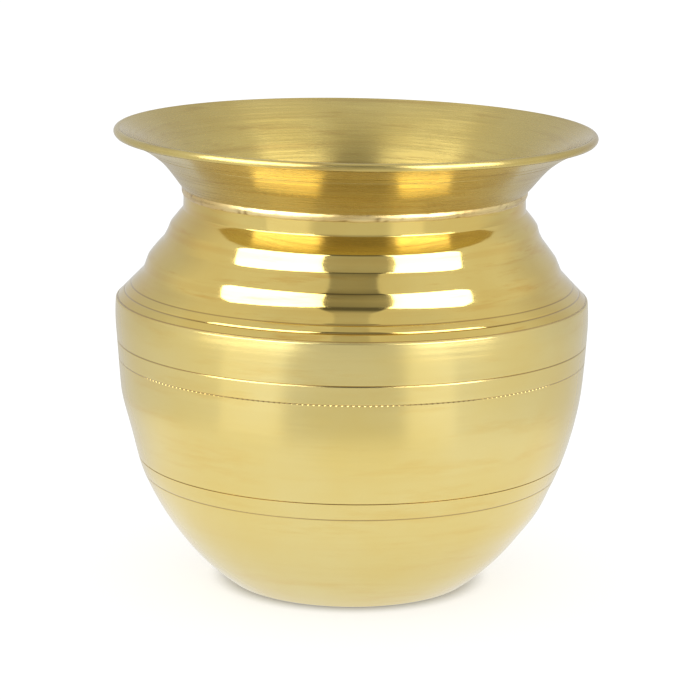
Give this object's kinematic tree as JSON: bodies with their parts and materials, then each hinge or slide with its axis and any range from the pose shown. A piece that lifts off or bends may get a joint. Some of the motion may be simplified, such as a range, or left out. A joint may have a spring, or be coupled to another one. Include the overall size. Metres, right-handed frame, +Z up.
{
  "type": "brass kalash pot",
  "caption": "Round-bellied brass water pot with a tiered shoulder, a narrow neck and a wide flared mouth, for ritual or household use.",
  "frame": {"origin": "centre of the base, on the surface that the pot stands on", "axes": "+Z up along the pot's axis; the pot is round, so X and Y are any two level directions"},
  "size_m": [0.106, 0.106, 0.1025],
  "materials": {
    "bowl_brass": "turned and polished, with fine lines running round it",
    "shoulder_brass": "bright polish on the tiers, fine turned lines on the cone",
    "shoulder_braze_brass": "turned flush with the sheet",
    "mouth_brass": "turned and polished, slightly duller inside",
    "neck_braze_brass": "rough cast bead, lightly brushed"
  },
  "bodies": {
    "root": {"bowl": "bowl_brass", "shoulder": "shoulder_brass", "shoulder_braze": "shoulder_braze_brass", "mouth": "mouth_brass", "neck_braze": "neck_braze_brass"}
  },
  "joints": []
}
